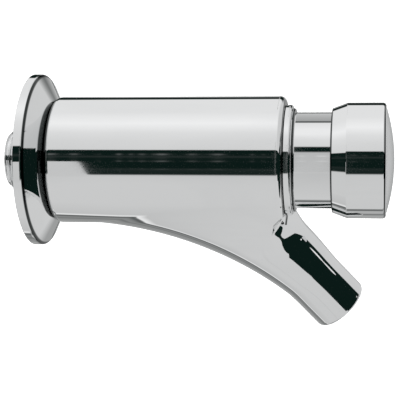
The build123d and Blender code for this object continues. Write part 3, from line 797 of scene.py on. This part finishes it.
# neck that the button slides on
neck = {"back": 82.0, "shoulderBack": 90.82, "shoulder": 91.8, "end": 109.5, "threadRadius": 16.95,
        "shoulderRadius": 17.8, "radius": 16.4, "bore": 13.9}
addTurned("neckTube", roundOutline([
    (neck["back"], neck["bore"], 0.1),
    (neck["back"], neck["threadRadius"], 0.2),
    (neck["shoulderBack"], neck["threadRadius"], 0.05),
    (neck["shoulderBack"], neck["shoulderRadius"], 0.2),
    (neck["shoulder"], neck["shoulderRadius"], 0.5),
    (neck["shoulder"], neck["radius"], 0.35),
    (neck["end"], neck["radius"], 0.5),
    (neck["end"], neck["bore"], 0.2),
]), "tap_body", "chrome", ["neck_sleeve"], segments=256)

# push button: a deep cap with a domed plate let into its front
button = {"back": 104.2, "taper": 109.3, "front": 122.4, "radius": 19.7, "rearRadius": 17.8, "bore": 17.0,
          "roofBack": 118.0, "plateBack": 120.0, "plateRadius": 18.2, "hub": 6.0, "spigot": 3.0,
          "headSeat": 117.7, "headRadius": 3.45, "screwHole": 1.8, "spigotEnd": 114.2,
          "glideFront": 108.3, "glideBack": 106.3, "glideRadius": 17.7,
          "rounding": 1.2, "crown": 2.7, "plateGap": 0.06, "plateLift": 0.02, "plateBevel": 0.2,
          "crownInset": 0.3}
addTurned("buttonShell", roundOutline([
    (button["back"], button["bore"], 0.15),
    (button["back"], button["rearRadius"], 0.3),
    (button["taper"], button["radius"], 0.8),
    (button["front"], button["radius"], button["rounding"]),
    (button["front"], button["plateRadius"], 0.12),
    (button["plateBack"], button["plateRadius"], 0.1),
    (button["plateBack"], button["headRadius"], 0.1),
    (button["headSeat"], button["headRadius"], 0.1),
    (button["headSeat"], button["screwHole"], 0.1),
    (button["spigotEnd"], button["screwHole"], 0.1),
    (button["spigotEnd"], button["spigot"], 0.1),
    (button["back"], button["spigot"], 0.2),
    (button["back"], button["hub"], 0.3),
    (button["roofBack"], button["hub"], 0.5),
    (button["roofBack"], button["bore"], 0.5),
    (button["glideFront"], button["bore"], 0.05),
    (button["glideFront"], button["glideRadius"], 0.05),
    (button["glideBack"], button["glideRadius"], 0.05),
    (button["glideBack"], button["bore"], 0.05),
]), "button_set", "chrome", ["button_cap"], segments=256)


def plateOutline(sizes):
    radius = sizes["plateRadius"] - sizes["plateGap"]
    bevel = sizes["plateBevel"]
    back = sizes["plateBack"] + sizes["plateLift"]
    crownRadius = (radius * radius + sizes["crown"] ** 2) / (2 * sizes["crown"])
    centre = sizes["front"] + sizes["crown"] - crownRadius
    edgeAngle = math.asin((radius - sizes["crownInset"]) / crownRadius)
    points = [(back, 0.0), (back, radius - bevel), (sizes["plateBack"] + bevel, radius),
              (sizes["front"] - bevel, radius)]
    normals = [(-1.0, 0.0), (-1.0, 0.0), (0.0, 1.0), (0.0, 1.0)]
    for a in np.linspace(edgeAngle, 0.0, 25):
        points.append((centre + crownRadius * math.cos(a), crownRadius * math.sin(a)))
        normals.append((math.cos(a), math.sin(a)))
    return points[::-1], normals[::-1]


addTurned("buttonFace", plateOutline(button), "button_set", "satin_chrome", ["button_plate"], segments=256)

# outlet nozzle, turned about the spout's axis with its mouth at x = 0
nozzle = {"back": -8.4, "front": -0.4, "radius": 8.5, "bore": 7.5, "lipBore": 6.6, "lip": 3.4}
slopeWay = Vector((math.cos(casting["slope"]), 0.0, -math.sin(casting["slope"])))
slopeUp = Vector((math.sin(casting["slope"]), 0.0, math.cos(casting["slope"])))
bendEnd = Vector((
    casting["webStart"] + casting["bend"] * math.sin(casting["slope"]), 0.0,
    casting["bend"] * (math.cos(casting["slope"]) - 1),
))
mouthCentre = bendEnd + slopeWay * casting["straight"]
mouthPlace = Matrix.Translation(mouthCentre) @ Matrix((
    (slopeWay.x, 0.0, slopeUp.x), (slopeWay.y, 1.0, slopeUp.y), (slopeWay.z, 0.0, slopeUp.z),
)).to_4x4()
addTurned("nozzleRing", roundOutline([
    (nozzle["back"], nozzle["bore"], 0.15),
    (nozzle["back"], nozzle["radius"], 0.3),
    (nozzle["front"], nozzle["radius"], 0.5),
    (nozzle["front"], nozzle["lipBore"], 0.6),
    (nozzle["front"] - nozzle["lip"], nozzle["lipBore"], 0.2),
    (nozzle["front"] - nozzle["lip"], nozzle["bore"], 0.2),
]), "tap_body", "chrome", ["outlet_nozzle"], segments=128, place=mouthPlace)
print("turned pieces made")

# pale floor well below the tap, which hangs on its wall
stage = {"floorHeight": -0.16, "floorSize": 5.0, "floorColour": (0.82, 0.82, 0.82, 1.0), "floorGlow": 0.55}


def makeFloor(sizes):
    half = sizes["floorSize"] / 2
    corners = [(-half, -half), (half, -half), (half, half), (-half, half)]
    mesh = bpy.data.meshes.new("paleFloor")
    mesh.from_pydata([(x, y, sizes["floorHeight"]) for x, y in corners], [], [(0, 1, 2, 3)])
    material = bpy.data.materials.new("paleFloorPaint")
    material.use_nodes = True
    tree = material.node_tree
    tree.nodes.clear()
    rays = put(tree, "ShaderNodeLightPath")
    paint = put(tree, "ShaderNodeBsdfDiffuse", {"Color": sizes["floorColour"]})
    glow = put(tree, "ShaderNodeEmission", {"Color": (1.0, 1.0, 1.0, 1.0), "Strength": sizes["floorGlow"]})
    clear = put(tree, "ShaderNodeBsdfTransparent")
    both = put(tree, "ShaderNodeAddShader", {0: paint.outputs[0], 1: glow.outputs[0]})
    toCamera = put(tree, "ShaderNodeMixShader",
                   {0: rays.outputs["Is Camera Ray"], 1: paint.outputs[0], 2: both.outputs[0]})
    # metal sees the studio's pattern through the floor, and so does a camera from below
    underside = put(tree, "ShaderNodeNewGeometry").outputs["Backfacing"]
    hidden = calc(tree, "MAXIMUM", rays.outputs["Is Glossy Ray"], underside)
    whole = put(tree, "ShaderNodeMixShader", {0: hidden, 1: toCamera.outputs[0], 2: clear.outputs[0]})
    put(tree, "ShaderNodeOutputMaterial", {"Surface": whole.outputs[0]})
    mesh.materials.append(material)
    floor = bpy.data.objects.new("paleFloor", mesh)
    bpy.context.scene.collection.objects.link(floor)
    return floor


floor = makeFloor(stage)

# studio that the metal mirrors. Degrees go round the barrel: 0 behind, 90 up, 180 at the camera, 270 down.
# Names with From or To say how far aside, from -1 at the left to 1 at the right, and turns are shares of
# a full turn. underLeft, underRight and lowEdge pair a place aside with degrees.
studio = {
    "dark": (0.004, 0.012, 0.010, 1.0),
    "light": (1.0, 1.0, 1.0, 1.0),
    "room": [(0, 0.0), (11, 0.0), (14, 0.85), (60, 0.87), (76, 0.95), (86, 1.0), (96, 0.92), (105, 0.84),
             (120, 0.78), (136.5, 0.75), (137.5, 0.0), (147, 0.0), (149, 0.02), (152, 0.0), (169, 0.0),
             (171, 0.012), (181, 0.004), (183, 0.66), (200, 0.68), (266, 0.67), (268, 0.16), (273, 0.16),
             (275, 0.50), (285, 0.46), (288, 0.22), (293, 0.22), (296, 0.42), (326, 0.36), (346, 0.5),
             (356, 0.0)],
    "under": [(240, 0.67), (262, 0.62), (270, 0.60), (274, 0.9), (275.8, 0.92), (277.2, 0.10), (279.5, 0.12),
              (283, 0.24), (287, 0.28), (290, 0.18), (293, 0.25), (298, 0.33), (303, 0.28), (310, 0.40),
              (320, 0.36), (346, 0.5), (356, 0.0)],
    "underLeft": (-0.30, -7.0),
    "underRight": (-0.21, 5.0),
    "glints": [(143.0, 0.0), (145.0, 0.16), (147.5, 0.0), (152.0, 0.02), (155.5, 0.0), (157.2, 0.13),
               (159.0, 0.0), (170.0, 0.0), (171.5, 0.04), (173.0, 0.0)],
    "glintSpread": 14.0,
    "glintShare": (0.5, 0.62),
    "darkTurns": (0.3795, 0.5055),
    "card": [(0, 0.62), (22, 0.52), (46, 0.40), (49, 0.05), (52, 0.05), (54, 0.85), (76, 0.97), (90, 0.97),
             (105, 0.82), (122, 0.76), (123, 0.0), (134, 0.0), (137, 0.56), (185, 0.60), (262, 0.68),
             (268, 0.15), (273, 0.15), (275, 0.50), (285, 0.46), (290, 0.25), (296, 0.3), (306, 0.02),
             (320, 0.0)],
    "cardFrom": -0.0765,
    "cardTo": -0.0405,
    "sideCardTo": -0.2449,
    "sideCardFrom": -0.45,
    "sideCardSoft": 0.012,
    "sideCardDegrees": 158.0,
    "sideCardTurns": (0.51, 0.515),
    "sideLevel": 0.64,
    "wallFrom": 0.22,
    "wallTo": 0.42,
    "wallLevel": 0.68,
    "endFrom": 0.76,
    "endTop": 0.36,
    "endBehind": 0.33,
    "endLean": 0.8,
    "endLeanBelow": -0.1,
    "lowEdge": [(0.45, 182), (0.475, 185), (0.505, 190), (0.53, 195), (0.62, 197), (0.69, 201),
                (0.712, 219), (0.735, 248), (0.78, 267), (0.88, 271)],
    "opening": (0.965, 0.095, 0.25),
    "openingSize": 0.052,
    "openingCore": 0.85,
    "openingLevel": 0.9,
    "soft": 0.42,
}


def levelsAt(tree, value, stops):
    ramp = put(tree, "ShaderNodeValToRGB", {0: value})
    elements = ramp.color_ramp.elements
    for i, (place, level) in enumerate(stops):
        if i < 2:
            elements[i].position = place
        else:
            elements.new(place)
        elements[i].color = (level, level, level, 1.0)
    return ramp.outputs[0]


def roundTheBarrel(tree, fraction, stops):
    return levelsAt(tree, fraction, [(degrees / 360, level) for degrees, level in stops])


def mixed(tree, mask, first, second):
    return put(tree, "ShaderNodeMix", {0: mask, 2: first, 3: second}).outputs[0]


def makeStudio(sizes):
    world = bpy.data.worlds.new("studio")
    bpy.context.scene.world = world
    world.use_nodes = True
    tree = world.node_tree
    tree.nodes.clear()
    direction = put(tree, "ShaderNodeTexCoord").outputs["Generated"]
    parts = put(tree, "ShaderNodeSeparateXYZ", {0: direction})
    aside, behind, up = parts.outputs
    fraction = calc(tree, "FRACT", calc(tree, "DIVIDE", calc(tree, "ARCTAN2", up, behind), fullTurn))
    room = roundTheBarrel(tree, fraction, sizes["room"])
    card = roundTheBarrel(tree, fraction, sizes["card"])
    middle = (sizes["cardFrom"] + sizes["cardTo"]) / 2
    half = (sizes["cardTo"] - sizes["cardFrom"]) / 2
    fromMiddle = calc(tree, "ABSOLUTE", calc(tree, "SUBTRACT", aside, middle))
    onCard = calc(tree, "LESS_THAN", fromMiddle, half)
    (left, leftTurn), (right, rightTurn) = sizes["underLeft"], sizes["underRight"]
    swing = ranged(tree, aside, left, right, leftTurn / 360, rightTurn / 360)
    under = roundTheBarrel(tree, calc(tree, "SUBTRACT", fraction, swing), sizes["under"])
    atUnder = calc(tree, "MULTIPLY", calc(tree, "GREATER_THAN", fraction, sizes["under"][0][0] / 360),
                   calc(tree, "LESS_THAN", aside, sizes["cardFrom"]))
    level = mixed(tree, atUnder, room, under)
    level = mixed(tree, onCard, level, card)
    # faint things in the dark room
    patches = put(tree, "ShaderNodeTexNoise",
                  {"W": calc(tree, "MULTIPLY", aside, sizes["glintSpread"]), "Detail": 2.0},
                  noise_dimensions="1D")
    seen = ranged(tree, patches.outputs[0], *sizes["glintShare"])
    glints = calc(tree, "MULTIPLY", roundTheBarrel(tree, fraction, sizes["glints"]), seen)
    level = calc(tree, "ADD", level, glints)
    # a plain wall at the right, beside the dark room
    darkFrom, darkTo = sizes["darkTurns"]
    belowTop = calc(tree, "GREATER_THAN", fraction, darkFrom)
    inRoom = calc(tree, "MULTIPLY", belowTop, calc(tree, "LESS_THAN", fraction, darkTo))
    wall = ranged(tree, aside, sizes["wallFrom"], sizes["wallTo"])
    onWall = calc(tree, "MULTIPLY", wall, calc(tree, "SUBTRACT", 1.0, inRoom))
    level = mixed(tree, onWall, level, sizes["wallLevel"])
    # a card at the left, with a rounded corner, hides the lower part of the dark room
    edgeEnd, sideEnd = sizes["sideCardTurns"]
    edge = put(tree, "ShaderNodeMapRange",
               {"Value": aside, "From Min": sizes["sideCardTo"],
                "From Max": sizes["sideCardTo"] + sizes["sideCardSoft"],
                "To Min": sizes["sideCardDegrees"] / 360, "To Max": edgeEnd},
               interpolation_type="SMOOTHERSTEP")
    onSide = calc(tree, "MULTIPLY", calc(tree, "GREATER_THAN", fraction, edge.outputs[0]),
                  calc(tree, "LESS_THAN", fraction, sideEnd))
    onSide = calc(tree, "MULTIPLY", onSide, calc(tree, "GREATER_THAN", aside, sizes["sideCardFrom"]))
    level = mixed(tree, onSide, level, sizes["sideLevel"])
    # at the right end the dark room goes round to the back
    belowLean = calc(tree, "MINIMUM", calc(tree, "SUBTRACT", up, sizes["endLeanBelow"]), 0.0)
    depth = calc(tree, "MULTIPLY_ADD", belowLean, sizes["endLean"], sizes["endBehind"])
    atBack = calc(tree, "MULTIPLY", calc(tree, "LESS_THAN", behind, depth),
                  calc(tree, "LESS_THAN", up, sizes["endTop"]))
    atBack = calc(tree, "MULTIPLY", atBack, calc(tree, "GREATER_THAN", aside, sizes["endFrom"]))
    lowEdge = levelsAt(tree, aside, [(reach, degrees / 360) for reach, degrees in sizes["lowEdge"]])
    lowPart = calc(tree, "MULTIPLY", belowTop, calc(tree, "LESS_THAN", fraction, lowEdge))
    lowPart = calc(tree, "MULTIPLY", lowPart, calc(tree, "GREATER_THAN", aside, sizes["lowEdge"][0][0]))
    atEnd = calc(tree, "MAXIMUM", atBack, lowPart)
    # a small bright opening in it
    away = put(tree, "ShaderNodeVectorMath", {0: direction, 1: sizes["opening"]}, operation="DISTANCE")
    inOpening = ranged(tree, away.outputs["Value"], sizes["openingSize"],
                       sizes["openingSize"] * sizes["openingCore"], last=sizes["openingLevel"])
    level = mixed(tree, atEnd, level, inOpening)
    seenByMetal = put(tree, "ShaderNodeMix", {0: level, 6: sizes["dark"], 7: sizes["light"]},
                      data_type="RGBA")
    rays = put(tree, "ShaderNodeLightPath")
    plain = put(tree, "ShaderNodeBackground", {"Color": sizes["light"], "Strength": sizes["soft"]})
    camera = put(tree, "ShaderNodeBackground", {"Color": sizes["light"], "Strength": 1.0})
    metal = put(tree, "ShaderNodeBackground", {"Color": seenByMetal.outputs[2], "Strength": 1.0})
    first = put(tree, "ShaderNodeMixShader",
                {0: rays.outputs["Is Camera Ray"], 1: plain.outputs[0], 2: camera.outputs[0]})
    mirrored = calc(tree, "MAXIMUM", rays.outputs["Is Glossy Ray"], rays.outputs["Is Transmission Ray"])
    second = put(tree, "ShaderNodeMixShader", {0: mirrored, 1: first.outputs[0], 2: metal.outputs[0]})
    put(tree, "ShaderNodeOutputWorld", {"Surface": second.outputs[0]})


makeStudio(studio)


def addSoftBox(name, place, target, size, power):
    lamp = bpy.data.lights.new(name, "AREA")
    lamp.shape = "SQUARE"
    lamp.size = size
    lamp.energy = power
    box = bpy.data.objects.new(name, lamp)
    box.location = place
    box.rotation_mode = "QUATERNION"
    box.rotation_quaternion = (Vector(target) - Vector(place)).to_track_quat("-Z", "Y")
    box.visible_glossy = False
    box.visible_camera = False
    bpy.context.scene.collection.objects.link(box)


tapMiddle = (0.06, 0.0, 0.0)
addSoftBox("topBox", place=(0.1, -0.1, 0.9), target=tapMiddle, size=0.9, power=9.0)
addSoftBox("sideBox", place=(0.9, -0.6, 0.5), target=tapMiddle, size=0.7, power=4.0)

# camera at the photo's viewing angle, in metres
view = {
    "place": (0.12229, -0.38805, 0.18095),
    "forward": (-0.14738, 0.88242, -0.44678),
    "up": (-0.00769, 0.45068, 0.89265),
    "lens": 112.2,
}
lens = bpy.data.cameras.new("photoCamera")
lens.lens = view["lens"]
lens.sensor_width = 36.0
lens.clip_start = 0.01
lens.clip_end = 20.0
photoCamera = bpy.data.objects.new("photoCamera", lens)
forward = Vector(view["forward"]).normalized()
right = forward.cross(Vector(view["up"])).normalized()
upright = right.cross(forward)
photoCamera.matrix_world = Matrix.Translation(view["place"]) @ Matrix((
    (right.x, upright.x, -forward.x), (right.y, upright.y, -forward.y), (right.z, upright.z, -forward.z),
)).to_4x4()
bpy.context.scene.collection.objects.link(photoCamera)
bpy.context.scene.camera = photoCamera
bpy.context.scene.view_settings.view_transform = "Standard"
